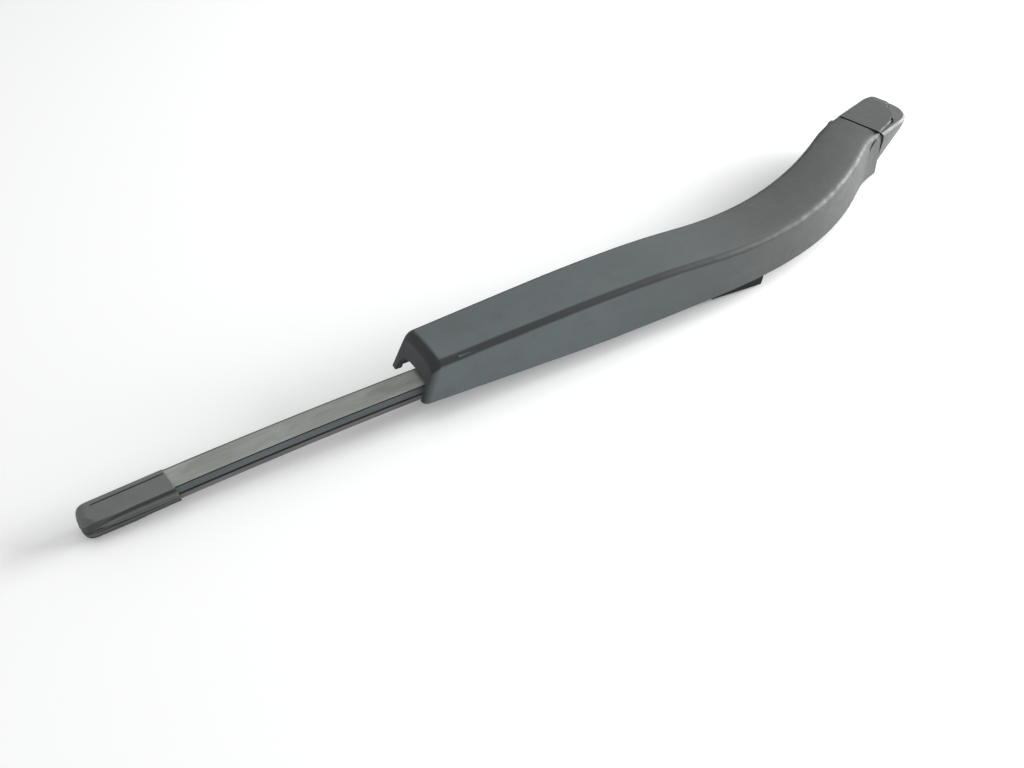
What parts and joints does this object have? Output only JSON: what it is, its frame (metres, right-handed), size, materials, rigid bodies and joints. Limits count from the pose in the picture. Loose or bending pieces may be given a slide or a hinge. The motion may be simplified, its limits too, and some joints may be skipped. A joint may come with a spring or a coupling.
{
  "type": "rear wiper arm",
  "caption": "Curved rear window wiper arm with a hooded plastic shell, a lift-off nut cover on its pivot head and a straight rubber blade held under the shell.",
  "frame": {"origin": "axis of the pivot bore at the level of the head's foot", "axes": "+Z along the pivot axis, away from the glass; the straight part of the arm and the blade lie along -X; +Y towards the far side of the arm, to which the head is set over"},
  "size_m": [0.41, 0.0731, 0.0302],
  "materials": {
    "shell": "matt, slightly cool dark grey, dusty",
    "head": "satin, lighter grey and worn",
    "cap": "matt dark grey, dusty",
    "spine": "worn and faded grey",
    "black": "matt black",
    "rubber": "matt black rubber",
    "steel": "plain zinc grey",
    "brass": "dull sintered bronze"
  },
  "bodies": {
    "head": {"pivot_head": "head", "pivot_insert": "steel", "fold_bush_left": "brass", "fold_bush_right": "brass", "head_hook_pin": "steel"},
    "arm": {"arm_shell": "shell", "fold_pin": "steel", "spring_anchor_pin": "steel", "tension_spring": "steel"},
    "link": {"spring_link": "steel"},
    "cover": {"nut_cover": "shell"},
    "blade": {"blade_spine": "spine", "flexor_left": "steel", "flexor_right": "steel", "wiper_rubber": "rubber", "outer_end_cap": "cap", "inner_end_cap": "black", "blade_bracket": "black", "bracket_rivets": "steel", "blade_pin": "steel"}
  },
  "joints": [
    {"name": "arm_fold", "type": "hinge", "parent": "head", "child": "arm", "pos_m": [-0.01637, -0.0046, 0.0195], "axis": [-0.2706, 0.9627, 0], "range_deg": [0, 38], "deforming": ["tension_spring"]},
    {"name": "link_swing", "type": "hinge", "parent": "head", "child": "link", "pos_m": [-0.01444, -0.00406, 0.0065], "axis": [-0.2706, 0.9627, 0], "range_deg": [0, 36]},
    {"name": "cover_lift", "type": "slide", "parent": "head", "child": "cover", "axis": [0, 0, 1], "range_m": [0, 0.008]},
    {"name": "blade_rock", "type": "hinge", "parent": "arm", "child": "blade", "pos_m": [-0.25003, -0.0463, 0.0195], "axis": [0.0105, 0.9999, 0], "range_deg": [-3, 5]}
  ],
  "couplings": [
    {"joint": "link_swing", "follows": "arm_fold", "ratio": 0.92}
  ]
}
